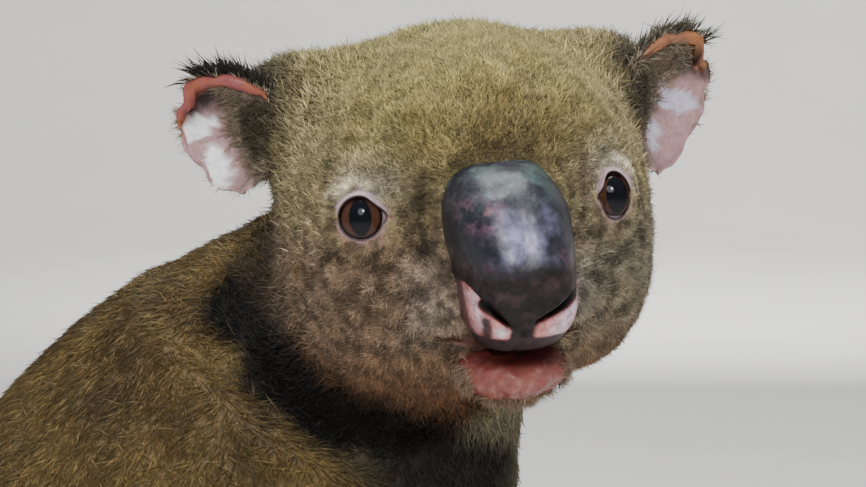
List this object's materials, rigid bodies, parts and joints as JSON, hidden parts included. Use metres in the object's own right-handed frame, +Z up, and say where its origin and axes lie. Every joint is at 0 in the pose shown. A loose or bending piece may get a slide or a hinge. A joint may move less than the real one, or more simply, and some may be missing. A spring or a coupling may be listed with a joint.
{
  "type": "koala",
  "caption": "Life-size koala sitting on its rump with soles and palms on the floor, its round furry head turned to its right, with a large bare nose, singed ears and curved claws.",
  "frame": {"origin": "on the floor, under the middle of the model's box", "axes": "+Z up, the trunk faces -Y, and the animal's left side is +X; the head is turned 61 degrees to the animal's right"},
  "size_m": [0.2776, 0.316, 0.3846],
  "materials": {
    "fur_body": "short woolly brown-grey fur",
    "fur_face": "very short olive-grey fur",
    "fur_chest": "short woolly fur, paler on the throat",
    "nose_skin": "smooth dark leathery skin with a moist shine",
    "lip_skin": "bare pink skin",
    "ear_skin": "bare singed skin with a red rim",
    "eye": "wet and glossy, brown iris",
    "claw": "dark horn, satin"
  },
  "bodies": {
    "root": {"chest": "fur_chest", "ear_left": "ear_skin", "ear_right": "ear_skin", "eye_left": "eye", "eye_right": "eye", "foot_claw_left_2": "claw", "foot_claw_left_3": "claw", "foot_claw_left_4": "claw", "foot_claw_left_5": "claw", "foot_claw_right_2": "claw", "foot_claw_right_3": "claw", "foot_claw_right_4": "claw", "foot_claw_right_5": "claw", "foot_left": "fur_body", "foot_right": "fur_body", "forearm_left": "fur_body", "forearm_right": "fur_body", "hand_claw_left_1": "claw", "hand_claw_left_2": "claw", "hand_claw_left_3": "claw", "hand_claw_left_4": "claw", "hand_claw_left_5": "claw", "hand_claw_right_1": "claw", "hand_claw_right_2": "claw", "hand_claw_right_3": "claw", "hand_claw_right_4": "claw", "hand_claw_right_5": "claw", "hand_left": "fur_body", "hand_right": "fur_body", "head": "fur_face", "lower_lip": "lip_skin", "neck": "fur_body", "nose": "nose_skin", "rump": "fur_body", "shin_left": "fur_body", "shin_right": "fur_body", "thigh_left": "fur_body", "thigh_right": "fur_body", "upper_arm_left": "fur_body", "upper_arm_right": "fur_body"}
  },
  "joints": []
}
